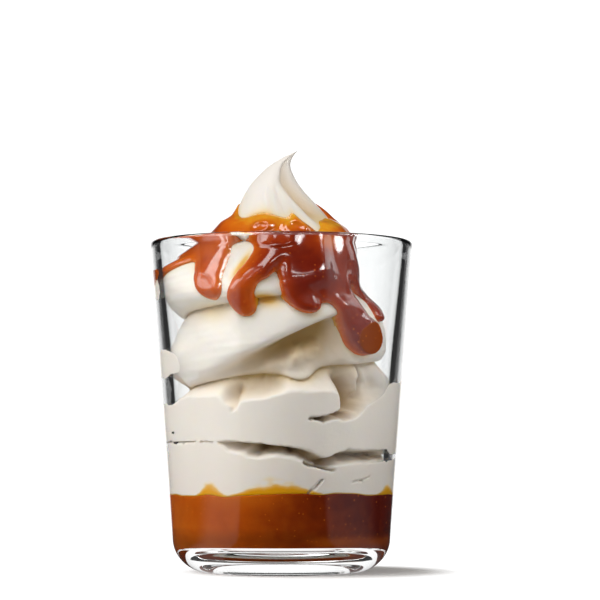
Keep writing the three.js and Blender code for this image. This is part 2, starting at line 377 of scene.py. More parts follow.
@dataclass(frozen=True)
class TumblerForm:
    """The tumbler's walls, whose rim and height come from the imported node."""

    rim_height: float
    rim_radius: float
    taper: float = 0.0774
    wall_angle: float = -4.4
    rim_wall: float = 3.0
    lower_wall: float = 4.0
    thins_over: float = 45.0
    floor_height: float = 8.4
    floor_corner: float = 7.0
    foot_corner: float = 11.3
    rest_inner: float = 20.4
    rest_outer: float = 23.4
    punt_height: float = 1.8

    def outer(self, height: Array) -> Array:
        """The outside radius: a straight taper down from the rim."""
        return self.rim_radius - self.taper * (self.rim_height - height)

    def inner(self, height: Array) -> Array:
        """The inside radius: the wall thickens over the first part of its way down."""
        thickening = smoothstep(self.rim_height - height, 0.0, self.thins_over)
        return self.outer(height) - (self.rim_wall + (self.lower_wall - self.rim_wall) * thickening)

    def corner_centre(self) -> Pair:
        """The middle of the arc that rounds the floor into the wall inside, as radius and height."""
        height = self.floor_height + self.floor_corner
        return float(self.inner(height)) - self.floor_corner, height

    def profile(self) -> Array:
        """The profile from the middle of the underside out, up, over the rim and down to the floor."""
        share = np.linspace(0.08, 1.0, 22)
        punt = places(share * self.rest_inner, self.punt_height * (1.0 - smoothstep(share, 0.72, 1.0)))
        foot = arc((self.rest_outer, self.foot_corner), self.foot_corner, -90.0, self.wall_angle, 28)
        centre = self.corner_centre()
        corner = arc(centre, self.floor_corner, 0.0, -90.0, 20)
        floor = places(np.linspace(corner[-1, 0] - 2.0, 2.0, 8), self.floor_height)
        half = self.rim_wall / 2
        rim = arc((self.rim_radius - half, self.rim_height - half), half, 10.0, 170.0, 24)
        below_rim = self.rim_height - self.rim_wall
        up = np.linspace(foot[-1, 1] + 2.0, below_rim, 24)
        down = np.linspace(below_rim, centre[1] + 1.0, 40)
        wall_out, wall_in = places(self.outer(up), up), places(self.inner(down), down)
        return np.concatenate([punt, foot, wall_out, rim, wall_in, corner, floor])


@dataclass(frozen=True)
class Groove:
    """A furrow pressed into the cream along a straight line between two places.

    Args:
        start: Bearing and height where it starts.
        end: Bearing and height where it ends.
        width: Half its width, in millimetres.
        depth: How deep it is, in millimetres; a ridge where it is below 0.
        lower: How many times as wide its lower side is.
    """

    start: Pair
    end: Pair
    width: float
    depth: float
    lower: float = 1.0


@dataclass(frozen=True)
class CreamForm:
    """The swirl: folds between spiral creases, held in by the wall, and a peak that hooks to the right."""

    tumbler: TumblerForm
    tip_height: float
    pool_level: float = 24.9
    pool_ripple: float = 0.5
    crease_heights: tuple[float, ...] = (17.0, 40.5, 62.5, 86.5, 104.5)
    swirl_radius: float = 33.4
    wall_press: float = 2.4
    peak_spread: float = 0.60
    peak_flare: float = 1.05
    crease_depth: float = 5.6
    crease_shift: float = 0.85
    fold_roundness: float = 2.3
    fold_sag: float = 2.4
    shoulder_lean: float = -5.0
    peak_lean: float = -2.2
    tip_reach: float = 5.4
    peak_bow: float = -1.6
    tip_back: float = 2.4
    valley_place: Pair = (5.0, 72.0)
    valley_slope: float = 0.23
    valley_depth: float = 9.6
    valley_lift: float = 0.45
    peak_groove_share: float = 0.16
    rib_depth: float = 0.05
    ribs_a_turn: float = 9.0
    levelling: float = -7.5
    upper_dip: Swell = Swell(-2.6, 12, 10, 61, 6)
    lower_dip: Swell = Swell(-2.4, 25, 9, 37, 6)
    left_end: Swell = Swell(3.9, -74, 17, 68, 6.5)
    left_shoulder: Swell = Swell(7.4, -85, 33, 98.5, 6.2)
    level_grain: Grain = Grain(0.8, 34, 1.0, 41)
    soft_grains: tuple[Grain, ...] = (Grain(0.9, 11, 17, 3), Grain(0.35, 31, 5.5, 4), Grain(0.1, 90, 2.2, 5))
    ragged_grain: Grain = Grain(0.55, 150, 1.3, 6)
    rib_wander: Grain = Grain(0.55, 14, 9.0, 8)
    rib_patches: Grain = Grain(0.75, 13, 8.0, 9)
    groove_wander: Grain = Grain(1.1, 70, 2.6, 31)
    groove_rise: Grain = Grain(0.55, 48, 3.2, 32)
    groove_jag: Grain = Grain(0.22, 150, 1.1, 33)
    grooves: tuple[Groove, ...] = (
        Groove((-24, 57.6), (-4, 60.0), 2.8, 4.2),
        Groove((-26, 57.0), (-25, 53.4), 2.0, 2.6),
        Groove((15, 50.4), (22, 51.6), 0.5, 6.0, 1.4),
        Groove((22, 51.6), (35, 53.2), 0.7, 6.5, 2.2),
        Groove((35, 53.4), (37, 57.0), 2.3, 6.5),
        Groove((37, 57.0), (34.5, 61.0), 2.2, 3.2),
        Groove((41, 57.4), (84, 65.2), 3.6, 4.0),
        Groove((45, 65.5), (44, 60.5), 2.8, -3.0),
        Groove((48, 65.5), (50.5, 62.0), 1.1, 2.8),
        Groove((50.5, 62.0), (46, 57.8), 1.1, 2.8),
        Groove((66, 62.5), (86, 63.0), 4.4, -4.6),
        Groove((-110, 59.5), (-68, 60.0), 3.4, 5.5),
        Groove((-108, 43.4), (-76, 43.4), 2.8, -4.8),
        Groove((-88, 46.2), (-70, 46.6), 0.5, 4.2),
        Groove((-84, 42.4), (-82, 39.6), 0.5, 4.2),
        Groove((-66, 43.2), (-34, 42.4), 3.2, -2.3),
        Groove((-30, 43.0), (-12, 41.4), 0.7, 3.6, 3.4),
        Groove((-12, 41.4), (4, 41.0), 0.6, 6.5, 2.6),
        Groove((4, 41.0), (21, 36.6), 0.6, 5.5, 1.8),
        Groove((24, 36.9), (38, 39.8), 0.7, 6.5, 2.4),
        Groove((38, 39.8), (68, 39.6), 0.9, 8.0, 2.4),
        Groove((12.8, 36.4), (27.5, 33.6), 0.5, 4.4),
        Groove((21.3, 29.4), (13.5, 24.6), 0.45, 4.0),
        Groove((40.5, 29.5), (46, 29.5), 0.4, 3.2),
        Groove((46, 29.5), (53, 31.0), 0.4, 3.2),
        Groove((110, 60.0), (160, 56.5), 3.0, 6.0),
        Groove((-8, 64.6), (8, 67.6), 2.0, -1.6),
        Groove((8, 67.6), (22, 70.0), 1.8, -2.2),
        Groove((39.5, 60.5), (41.5, 55.5), 1.9, 4.6),
        Groove((150, 49.0), (174, 53.0), 0.6, 4.6, 1.8),
        Groove((178, 39.6), (196, 40.4), 0.5, 4.2, 2.4),
        Groove((196, 40.4), (214, 43.5), 0.45, 3.8, 1.6),
        Groove((240, 45.0), (266, 47.5), 0.5, 4.0, 1.8),
        Groove((118, 31.0), (128, 29.0), 0.5, 3.6),
        Groove((205, 31.5), (214, 27.0), 0.45, 4.0),
        Groove((-18, 118.6), (-13, 111.0), 3.4, -0.45),
        Groove((3, 118.0), (6, 113.0), 3.4, 0.5),
    )

    def level(self, bearing: Array) -> Array:
        """The level where pool and cream meet: two waves round the axis and small uneven ones."""
        waves = 0.6 * wave(bearing, 2, 40) + 0.4 * wave(bearing, 5, 0)
        return self.pool_level + self.pool_ripple * (waves + self.level_grain.at(bearing, 0.0 * bearing))

    def fold_turns(self, bearing: Array, height: Array) -> Array:
        """How many turns of the spiral lie below a place: even between the creases, which tilt and dip.

        Args:
            bearing: Degrees round the axis.
            height: Millimetres up.

        Returns:
            The turns at each place.
        """
        levelled = self.levelling * wave(bearing, 1, 0) * bell(height, 39, 9)
        lift = levelled + self.upper_dip.at(bearing, height) + self.lower_dip.at(bearing, height)
        even = height - lift
        creases = np.array(self.crease_heights)
        turn = np.clip(np.searchsorted(creases, even, side="right") - 1, 0, len(creases) - 2)
        return turn + (even - creases[turn]) / (creases[turn + 1] - creases[turn]) - bearing / 360.0

    def bulge(self, bearing: Array, height: Array) -> Array:
        """0 in a crease, 1 on a crest: the root of 1 - |2 t - 1|^2.3, t being the share of the fold^0.85.

        Args:
            bearing: Degrees round the axis.
            height: Millimetres up.

        Returns:
            The share at each place.
        """
        turns = self.fold_turns(bearing, height)
        share = (turns - np.floor(turns)) ** self.crease_shift
        return np.sqrt(1.0 - np.abs(2.0 * share - 1.0) ** self.fold_roundness)

    def crest_radius(self, bearing: Array, height: Array) -> Array:
        """The crests' distance from the swirl's axis: past the wall below, a drum and then a cone above.

        Args:
            bearing: Degrees round the axis.
            height: Millimetres up.

        Returns:
            The distance at each place, in millimetres.
        """
        cone = self.peak_spread * np.maximum(self.tip_height - height, 0.0) ** self.peak_flare
        free = -2.0 * np.log(np.exp(-self.swirl_radius / 2.0) + np.exp(-cone / 2.0))
        pressed = self.tumbler.inner(height) + self.wall_press
        crest = pressed + (free - pressed) * smoothstep(height, 55.0, 65.0)
        return crest + self.left_end.at(bearing, height) + self.left_shoulder.at(bearing, height)

    def broad_valley(self, bearing: Array, height: Array) -> Array:
        """The depth of the broad valley on the third fold: steep above its line and gentle below.

        Args:
            bearing: Degrees round the axis.
            height: Millimetres up.

        Returns:
            The depth at each place, in millimetres.
        """
        along = turn_between(self.valley_place[0], bearing)
        below_line = self.valley_place[1] + self.valley_slope * along - height
        wide = 6.0 + 0.22 * np.clip(along, 0.0, 40.0)
        across = lopsided_bell(below_line, 0.0, wide, 3.0)
        return self.valley_depth * across * lopsided_bell(along, 10.0, 26.0, 44.0)

    def valleys(self, bearing: Array, height: Array) -> Array:
        """The broad valley, the furrow by the second fold's right lobe, and the peak's."""
        furrow = 3.0 * side_bell(bearing, 39.0 + 0.35 * (60.0 - height), 7.0) * bell(height, 59.0, 7.0)
        return self.broad_valley(bearing, height) + furrow + self.peak_groove(bearing, height)

    def peak_groove(self, bearing: Array, height: Array) -> Array:
        """The groove where the peak's left lobe laps over its right one: steep on its left, gentle beyond."""
        past_line = turn_between(18.0 + 2.1 * np.maximum(124.0 - height, 0.0), bearing)
        deepest = self.peak_groove_share * self.crest_radius(bearing, height)
        return deepest * lopsided_bell(past_line, 0.0, 34.0, 7.0) * smoothstep(height, 107.0, 114.0)

    def towards_tip(self, height: Array, start: float) -> Array:
        """The square of the share of the way from a height to the tip."""
        return np.clip((height - start) / (self.tip_height - start), 0.0, 1.0) ** 2

    def axis(self, height: Array) -> Array:
        """The swirl's own axis: how far it lies to the right."""
        lean = self.shoulder_lean * bell(height, 93.0, 9.0) + self.peak_lean * bell(height, 123.0, 7.0)
        return lean + self.tip_reach * self.towards_tip(height, 128.0)

    def bow(self, height: Array) -> Array:
        """How far the swirl's own axis lies behind the tumbler's: the peak bows forward and its tip back."""
        return self.peak_bow * bell(height, 121.0, 8.0) + self.tip_back * self.towards_tip(height, 125.0)

    def ribs(self, bearing: Array, height: Array) -> Array:
        """Faint ribs drawn out along the folds: sin(360 x (9 turns of the spiral + a wander)), in patches."""
        cycles = self.ribs_a_turn * self.fold_turns(bearing, height) + self.rib_wander.at(bearing, height)
        patches = np.clip(0.45 + self.rib_patches.at(bearing, height), 0.0, 1.0)
        return self.rib_depth * np.sin(2.0 * np.pi * cycles) * patches

    def relief(self, bearing: Array, height: Array) -> Array:
        """Uneven swells of the soft cream: three sizes of random relief and ribs, less near the tip."""
        soft = sum(grain.at(bearing, height) for grain in self.soft_grains) + self.ribs(bearing, height)
        ragged = self.ragged_grain.at(bearing, height) * bell(height, 45.0, 10.0)
        return soft * (1.0 - smoothstep(height, 100.0, 118.0)) + ragged

    def furrows(self, bearing: Array, height: Array) -> Array:
        """The depth of all grooves: depth x a bell of the distance from each groove's wandering line.

        Args:
            bearing: Degrees round the axis.
            height: Millimetres up.

        Returns:
            The depth at each place, in millimetres.
        """
        total = np.zeros_like(height)
        bearing_there = bearing + self.groove_wander.at(bearing, height)
        height_there = height + self.groove_rise.at(bearing, height) + self.groove_jag.at(bearing, height)
        for groove in self.grooves:
            line = (groove.start, groove.end, self.swirl_radius)
            distance, above, _ = line_distance(bearing_there, height_there, *line)
            width = groove.width * np.where(above > 0.0, 1.0, groove.lower)
            total += groove.depth * bell(distance, 0.0, width)
        return total

    def radius(self, bearing: Array, height: Array) -> Array:
        """The distance of the free surface from the swirl's own axis: the crests' less every hollow.

        Args:
            bearing: Degrees round the axis.
            height: Millimetres up.

        Returns:
            The distance at each place, in millimetres.
        """
        creases = self.crease_depth * (1.0 - smoothstep(height, 92.0, 104.0)) * smoothstep(height, 24.0, 32.0)
        hollow = creases * (1.0 - self.bulge(bearing, height)) + self.valleys(bearing, height)
        hollow = hollow + self.furrows(bearing, height)
        return np.maximum(self.crest_radius(bearing, height) - hollow + self.relief(bearing, height), 0.0)

    def sag(self, bearing: Array, height: Array) -> Array:
        """How far a crest hangs down over the crease or valley below it."""
        fade = smoothstep(height, 28.0, 40.0) * (1.0 - smoothstep(height, 96.0, 108.0))
        hang = self.fold_sag * self.bulge(bearing, height) * fade
        return hang - self.valley_lift * self.broad_valley(bearing, height)

    def place(
        self, bearing: Array, height: Array, radius: Array, past_wall: float, sag: Array | None = None
    ) -> Array:
        """Sets points out from the swirl's axis, and brings those beyond the wall back to it.

        Args:
            bearing: Degrees round the axis.
            height: Millimetres up, before the sag.
            radius: Distance from the swirl's own axis.
            past_wall: How far a point may reach into the glass.
            sag: How far points hang down, where it isn't the cream's own sag.

        Returns:
            The places, with a last axis of 3.
        """
        points = around(bearing, radius, height - (self.sag(bearing, height) if sag is None else sag))
        points[..., 0] += self.axis(height)
        points[..., 1] += self.bow(height)
        distance = np.hypot(points[..., 0], points[..., 1])
        limit = self.tumbler.inner(points[..., 2]) + past_wall
        points[..., :2] *= np.minimum(1.0, limit / np.maximum(distance, 1e-6))[..., None]
        return points

    def pressed(self, points: Array) -> Array:
        """Where places touch the wall, from 0 to 1."""
        reach = np.hypot(points[..., 0], points[..., 1]) - self.tumbler.inner(points[..., 2])
        return smoothstep(reach, -0.2, 0.0)


@dataclass(frozen=True)
class Run:
    """A run of topping: the bearing, height and half width at the places that its middle line passes."""

    path: tuple[Triple, ...]

    def depth(self, bearing: Array, height: Array, drum: Array) -> Array:
        """How far inside the run a place lies: the half width, which changes evenly, less the distance.

        Args:
            bearing: Degrees round the axis.
            height: Millimetres up.
            drum: The drum's radius at each place.

        Returns:
            The depth at each place, in millimetres.
        """
        depths = []
        for start, end in zip(self.path, self.path[1:]):
            distance, _, share = line_distance(bearing, height, start, end, drum)
            depths.append(start[2] + share * (end[2] - start[2]) - distance)
        return np.max(depths, axis=0)


@dataclass(frozen=True)
class ToppingForm:
    """The caramel coat: a collar round the peak with runs of caramel joined on."""

    cream: CreamForm
    thickness: float = 2.6
    edge: float = 3.6
    top: float = 111.0
    bottom: float = 100.0
    blend: float = 1.8
    loop_height: float = 0.7
    top_bells: tuple[Triple, ...] = (
        (6.5, -95, 32), (7.5, 112, 14), (1.4, 76, 14), (2.0, 14, 5), (-3.4, 36, 10), (2.2, -20, 20)
    )
    bottom_bells: tuple[Triple, ...] = ((4.4, -30, 20), (-7.0, 34, 26))
    top_waves: tuple[float, ...] = (1.5, 50, 120, 150)
    bottom_waves: tuple[float, ...] = (2.2, 20, 90, 130)
    loops: tuple[tuple[float, ...], ...] = (
        (-17.0, 108.6, 7.5, 1.5), (13.0, 108.6, 8.0, 1.9), (-3.0, 104.6, 12.0, 1.6)
    )
    swells: tuple[Swell, ...] = (
        Swell(4.3, 49, 12, 75, 7),
        Swell(0.9, -20, 9, 86, 5),
        Swell(0.9, 14, 10, 87, 6),
        Swell(2.2, 30, 12, 95.5, 5),
    )
    grains: tuple[Grain, ...] = (Grain(0.8, 24, 9.0, 11), Grain(0.45, 34, 6.5, 14))
    patches: Grain = Grain(0.3, 16, 8.0, 12)
    runs: tuple[Run, ...] = (
        Run(((-90, 95.4, 3.6), (-77, 96.8, 2.4), (-68, 98.8, 2.0), (-62, 100.8, 2.4), (-57, 104, 4.4))),
        Run(((-55, 104.5, 6), (-48.5, 101.5, 4.2), (-41.5, 98.2, 4), (-36.5, 94.6, 4), (-33, 90.8, 4))),
        Run(((-2, 101.5, 6), (-5, 97.8, 5.2), (-10, 94.6, 4.2), (-14, 90.2, 3.8), (-17.8, 85.7, 4.2))),
        Run(((17, 98, 5.5), (18.5, 93, 5.2), (17.5, 87.6, 5.7))),
        Run(((26, 96, 7), (29.5, 90.6, 5.1))),
        Run(((41, 96, 9), (44, 87, 6.6), (44.5, 81.5, 5.6), (47.5, 75.2, 6))),
        Run(((60, 98, 7), (68, 94, 4.2), (76, 89.6, 3.5), (74.5, 86, 2.5), (69, 82.4, 1.5))),
        Run(((104, 101, 5), (108, 94, 3.6), (107, 88.5, 3.8))),
        Run(((137, 101, 6), (141, 92, 4.4), (139, 83, 3.8), (141, 76.5, 4.2))),
        Run(((170, 100, 5), (167, 93, 3.8), (168, 88.5, 4))),
        Run(((-157, 101, 6), (-153, 91, 4.4), (-150, 84, 3.6), (-152, 80, 3.9))),
        Run(((-118, 102, 5), (-113, 95, 3.8), (-115, 90.5, 4))),
    )

    def behind(self, bearing: Array, waves: tuple[float, ...]) -> Array:
        """Three waves round the axis: their amount and phase, and how far from the front they come in."""
        amount, phase, start, full = waves
        return amount * wave(bearing, 3, phase) * smoothstep(np.abs(turn_between(0.0, bearing)), start, full)

    def top_edge(self, bearing: Array) -> Array:
        """The height where the coat starts: low in front, drawn up the peak's left and right flanks."""
        return self.top + side_bells(bearing, self.top_bells) + self.behind(bearing, self.top_waves)

    def depth_inside(self, bearing: Array, height: Array) -> Array:
        """How far inside the coat's outline a place lies: the rounded largest of the collar and the runs.

        Args:
            bearing: Degrees round the axis.
            height: Millimetres up.

        Returns:
            The depth at each place, in millimetres.
        """
        waves = self.behind(bearing, self.bottom_waves)
        bottom = self.bottom + side_bells(bearing, self.bottom_bells) + waves
        depth = np.minimum(self.top_edge(bearing) - height, height - bottom)
        drum = self.cream.crest_radius(bearing, height)
        for run in self.runs:
            depth = rounded_max(depth, run.depth(bearing, height, drum), self.blend)
        return depth

    def thickness_at(self, bearing: Array, height: Array) -> Array:
        """The coat's thickness: a round edge inside the outline, and below 0 outside it.

        Args:
            bearing: Degrees round the axis.
            height: Millimetres up.

        Returns:
            The thickness at each place, in millimetres.
        """
        depth = self.depth_inside(bearing, height)
        thickness = self.thickness + 0.6 * side_bell(bearing, 20, 28)
        for part in (*self.swells, *self.grains):
            thickness = thickness + part.at(bearing, height)
        for middle, level, across, up in self.loops:
            share = np.hypot(turn_between(middle, bearing) / across, (height - level) / up)
            thickness = thickness + self.loop_height * bell(share, 1.0, 0.38)
        drawn_thin = 1.0 - 0.7 * smoothstep(height, 111.0, 114.0) * side_bell(bearing, -85, 40)
        rounded = np.sqrt(1.0 - (1.0 - np.clip(depth / self.edge, 0.0, 1.0)) ** 2)
        return np.where(depth > 0.0, thickness * drawn_thin * rounded, np.maximum(2.5 * depth, -1.2))

    def cover(self, bearing: Array, height: Array) -> Array:
        """How dark the coat's colour is, from 0 to 1: its thickness, less near the top edge in patches, paler
        on the left round bearing -45 and darker round bearing 74.

        Args:
            bearing: Degrees round the axis.
            height: Millimetres up.

        Returns:
            The share at each place.
        """
        thick = 0.26 + 0.74 * (self.thickness_at(bearing, height) - 0.4) / 3.6
        thick = np.clip(thick + 0.4 * side_bell(bearing, 74, 9), 0.0, 1.0)
        patches = np.minimum(0.86 + self.patches.at(bearing, height), 1.0)
        thin_top = 0.95 * patches * bell(height - self.top_edge(bearing), -1.0, 5.5)
        thin_top = thin_top * (1.0 - smoothstep(turn_between(0.0, bearing), 86.0, 98.0))
        return thick * (1.0 - np.maximum(thin_top, 0.38 * side_bell(bearing, -45, 38)))


# ------------------------------ shading


WHITE = (1.0, 1.0, 1.0, 1.0)


class Nodes:
    """Builds a node tree: each call adds one node, sets its plain properties and fills its inputs."""

    def __init__(self, tree: bpy.types.NodeTree) -> None:
        """Empties the tree."""
        self.tree = tree
        tree.nodes.clear()

    def add(
        self, kind: str, inputs: dict[str | int, object] | None = None, **settings: object
    ) -> bpy.types.Node:
        """Adds a node.

        Args:
            kind: The node's type, after "ShaderNode".
            inputs: What each input gets: a socket to link, or a value.
            settings: Plain properties of the node.

        Returns:
            The node.
        """
        node = self.tree.nodes.new(kind if kind.startswith("NodeGroup") else "ShaderNode" + kind)
        for title, value in settings.items():
            setattr(node, title, value)
        for socket, value in (inputs or {}).items():
            if isinstance(value, bpy.types.NodeSocket):
                self.tree.links.new(value, node.inputs[socket])
            else:
                node.inputs[socket].default_value = value
        return node

    def math(self, operation: str, *values: Link | float) -> Link:
        """A Math node's result."""
        return self.add("Math", dict(enumerate(values)), operation=operation).outputs[0]

    def product(self, first: Link | float, *others: Link | float) -> Link:
        """All the values multiplied."""
        for other in others:
            first = self.math("MULTIPLY", first, other)
        return first

    def rest(self, share: Link) -> Link:
        """What a share leaves of 1."""
        return self.math("SUBTRACT", 1.0, share)

    def fade(self, value: Link, none: float, full: float, kind: str = "SMOOTHSTEP") -> Link:
        """0 at one value and 1 at another."""
        return self.add("MapRange", {0: value, 1: none, 2: full}, interpolation_type=kind).outputs[0]

    def ramp(self, factor: Link, stops: tuple[tuple[float, Colour], ...]) -> Link:
        """A colour ramp through the stops.

        Args:
            factor: Where along the ramp, from 0 to 1.
            stops: Positions from 0 to 1 with their colours.

        Returns:
            The colour.
        """
        node = self.add("ValToRGB", {0: factor})
        elements = node.color_ramp.elements
        while len(elements) < len(stops):
            elements.new(0.5)
        for element, (position, colour) in zip(elements, stops):
            element.position = position
            element.color = colour
        return node.outputs[0]

    def mix(self, factor: Link | float, first: Link | Colour, second: Link | Colour) -> Link:
        """A mix of two colours."""
        return self.add("Mix", {0: factor, 6: first, 7: second}, data_type="RGBA").outputs[2]

    def place(self) -> Link:
        """Where a point lies on its object."""
        return self.add("TexCoord").outputs["Object"]

    def parts(self, vector: Link) -> list[Link]:
        """A vector's three parts."""
        return list(self.add("SeparateXYZ", {0: vector}).outputs)

    def carried(self, title: str) -> Link:
        """A number that the mesh carries."""
        return self.add("Attribute", attribute_name=title).outputs["Fac"]

    def emission(self, strength: Link | float) -> Link:
        """White light of a strength."""
        return self.add("Emission", {"Color": WHITE, "Strength": strength}).outputs[0]

    def blend(self, share: Link, first: Link, second: Link) -> Link:
        """A share of the second shader mixed into the first."""
        return self.add("MixShader", {0: share, 1: first, 2: second}).outputs[0]

    def surface(self, shader: Link) -> None:
        """Makes a shader the material's surface."""
        self.add("OutputMaterial", {"Surface": shader})


def new_material(title: str) -> tuple[Material, Nodes]:
    """An empty node material and its builder."""
    made = bpy.data.materials.new(title)
    made.use_nodes = True
    return made, Nodes(made.node_tree)


def new_group(
    title: str, inputs: dict[str, float], outputs: dict[str, str]
) -> tuple[bpy.types.NodeTree, Nodes, dict[str, Link]]:
    """A shader node group with named sockets.

    Args:
        title: The group's name.
        inputs: Float inputs with their usual values.
        outputs: Output names with their socket types.

    Returns:
        The group, its builder and its inner input sockets by name.
    """
    tree = bpy.data.node_groups.new(title, "ShaderNodeTree")
    nodes = Nodes(tree)
    for name, value in inputs.items():
        tree.interface.new_socket(name, in_out="INPUT", socket_type="NodeSocketFloat").default_value = value
    for name, kind in outputs.items():
        tree.interface.new_socket(name, in_out="OUTPUT", socket_type=kind)
    source = nodes.add("NodeGroupInput")
    return tree, nodes, {name: source.outputs[name] for name in inputs}


def make_relief_group() -> bpy.types.NodeTree:
    """Fine unevenness: noise as a bump on the surface. Puts out a normal and the noise itself."""
    outputs = {"Normal": "NodeSocketVector", "Noise": "NodeSocketFloat"}
    tree, nodes, given = new_group("fine_relief", {"Scale": 400.0, "Height": 0.0001}, outputs)
    texture = nodes.add("TexNoise", {"Vector": nodes.place(), "Scale": given["Scale"], "Detail": 3.0})
    noise = texture.outputs[0]
    bump = nodes.add("Bump", {"Strength": 1.0, "Distance": given["Height"], "Height": noise})
    nodes.add("NodeGroupOutput", {"Normal": bump.outputs[0], "Noise": noise})
    return tree


def make_bubble_group() -> bpy.types.NodeTree:
    """Tiny bubbles: round spots where a cell's own point lies near, in a share of the cells."""
    inputs = {"Scale": 500.0, "Size": 0.3, "Share": 0.3}
    tree, nodes, given = new_group("caught_bubbles", inputs, {"Mask": "NodeSocketFloat"})
    cells = nodes.add("TexVoronoi", {"Vector": nodes.place(), "Scale": given["Scale"]})
    spot = nodes.math("LESS_THAN", cells.outputs["Distance"], given["Size"])
    draw = nodes.add("SeparateColor", {0: cells.outputs["Color"]}).outputs[0]
    kept = nodes.math("LESS_THAN", draw, given["Share"])
    nodes.add("NodeGroupOutput", {"Mask": nodes.product(spot, kept)})
    return tree


class Effects:
    """The shared node groups, made once for all finishes."""

    def __init__(self) -> None:
        """Makes the groups."""
        self.relief = make_relief_group()
        self.bubbles = make_bubble_group()


@dataclass(frozen=True)
class GlassFinish:
    """Clear polished glass, which lets lamp light straight through to the food."""

    index: float = 1.5
    tint: Colour = (0.985, 0.995, 0.995, 1.0)
    let_through: Colour = (0.93, 0.93, 0.93, 1.0)

    def make(self) -> Material:
        """The material."""
        made, nodes = new_material("clear_glass")
        glass = nodes.add(
            "BsdfPrincipled",
            {"Base Color": self.tint, "Roughness": 0.0, "IOR": self.index, "Transmission Weight": 1.0},
        )
        clear = nodes.add("BsdfTransparent", {"Color": self.let_through})
        shadow = nodes.add("LightPath").outputs["Is Shadow Ray"]
        nodes.surface(nodes.blend(shadow, glass.outputs[0], clear.outputs[0]))
        return made


@dataclass(frozen=True)
class CreamFinish:
    """Soft cream: satin, faintly translucent, with painted shade (a warm darker tint) in the hollows and
    caramel stains.
    """

    light: Colour = linear(247, 240, 231)
    # painted shade: the warm darker colour laid into creases, valleys and furrows
    hollow: Colour = linear(206, 172, 112)
    faint_stain: Colour = linear(250, 228, 160)
    stain: Colour = linear(234, 166, 20)

    def make(self, effects: Effects) -> Material:
        """The material, whose colour follows the attributes hollow (painted shade) and stain from 0 to 1.

        Args:
            effects: The shared node groups.

        Returns:
            The material.
        """
        made, nodes = new_material("soft_cream")
        relief = nodes.add("Group", {"Scale": 900.0, "Height": 0.00006}, node_tree=effects.relief)
        stain = nodes.carried("stain")
        # painted shade: the hollow attribute darkens the cream towards the hollow colour
        painted_shade_colour = nodes.mix(nodes.carried("hollow"), self.light, self.hollow)
        stained = nodes.mix(stain, self.faint_stain, self.stain)
        colour = nodes.mix(nodes.math("MINIMUM", nodes.product(stain, 1.8), 1.0), painted_shade_colour, stained)
        surface = nodes.add(
            "BsdfPrincipled",
            {
                "Base Color": colour,
                "Roughness": 0.42,
                "Normal": relief.outputs["Normal"],
                "Subsurface Weight": nodes.product(nodes.carried("body"), 0.35),
                "Subsurface Radius": (1.0, 0.75, 0.45),
                "Subsurface Scale": 0.0016,
                "Specular IOR Level": nodes.math("MULTIPLY_ADD", nodes.carried("pressed"), -0.35, 0.35),
            },
        )
        nodes.surface(surface.outputs[0])
        return made


@dataclass(frozen=True)
class CaramelFinish:
    """Thick caramel: orange to red-brown as the attribute depth rises, which is the coat's thickness on the
    topping and painted light and shade in the pool, with bubbles, and wet where bare of glass.
    """

    title: str
    stops: tuple[tuple[float, Colour], ...]
    all_on_glass: bool = False
    bubble: Colour = linear(214, 104, 26)
    contact: Colour = linear(154, 72, 18)
    contact_share: float = 0.85
    bubble_scale: float = 800.0
    bubble_size: float = 0.22
    bubble_share: float = 0.2
    bubble_strength: float = 0.6
    cloudiness: float = 0.24
    shine: float = 0.5
    coat: float = 0.4

    def make(self, effects: Effects) -> Material:
        """The material, whose colour follows the attribute depth and its gloss the attribute pressed.

        Args:
            effects: The shared node groups.

        Returns:
            The material.
        """
        made, nodes = new_material(self.title)
        relief = nodes.add("Group", {"Scale": 260.0, "Height": 0.00003}, node_tree=effects.relief)
        cells = {"Scale": self.bubble_scale, "Size": self.bubble_size, "Share": self.bubble_share}
        bubbles = nodes.add("Group", cells, node_tree=effects.bubbles).outputs["Mask"]
        cloud = nodes.math("MULTIPLY_ADD", relief.outputs["Noise"], self.cloudiness, -self.cloudiness / 2)
        ground = nodes.ramp(nodes.math("ADD", nodes.carried("depth"), cloud), self.stops)
        gloss = {"Specular IOR Level": 0.0, "Coat Weight": 0.0}
        if not self.all_on_glass:
            pressed = nodes.carried("pressed")
            ground = nodes.mix(nodes.product(pressed, self.contact_share), ground, self.contact)
            gloss["Specular IOR Level"] = nodes.math("MULTIPLY_ADD", pressed, -self.shine, self.shine)
            gloss["Coat Weight"] = nodes.math("MULTIPLY_ADD", pressed, -self.coat, self.coat)
        surface = nodes.add(
            "BsdfPrincipled",
            {
                "Base Color": nodes.mix(nodes.product(bubbles, self.bubble_strength), ground, self.bubble),
                "Roughness": 0.12,
                "Normal": relief.outputs["Normal"],
                "Subsurface Weight": 0.25,
                "Subsurface Radius": (1.0, 0.35, 0.12),
                "Subsurface Scale": 0.0025,
                "Coat Roughness": 0.03,
                **gloss,
            },
        )
        nodes.surface(surface.outputs[0])
        return made


TOPPING_STOPS = (
    (0.0, linear(236, 170, 40)),
    (0.12, linear(226, 120, 20)),
    (0.35, linear(212, 96, 14)),
    (0.65, linear(164, 52, 4)),
    (1.0, linear(118, 24, 2)),
)
# the pool's ramp runs from painted light at 0 to painted shade at 1
POOL_STOPS = (
    (0.0, linear(214, 116, 26)),
    (0.5, linear(186, 84, 12)),
    (0.8, linear(140, 50, 6)),
    (1.0, linear(96, 22, 8)),
)


# ------------------------------ pieces


class Part:
    """What the pieces' classes share: a subclass builds its mesh, and this dresses it."""

    piece: Piece

    def build(self) -> Object:
        """Makes the piece's mesh object."""
        raise NotImplementedError

    def dress(self, material: Material) -> None:
        """Builds the piece, gives it its material and body, hides the imported node that it stands for, and
        reports it.

        Args:
            material: The piece's finish.
        """
        piece = self.piece
        made = self.build()
        made.data.materials.append(material)
        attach(made, "root")
        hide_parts(piece.node)
        log.info("%s: %d faces for node %s", piece.title, len(made.data.polygons), piece.node)


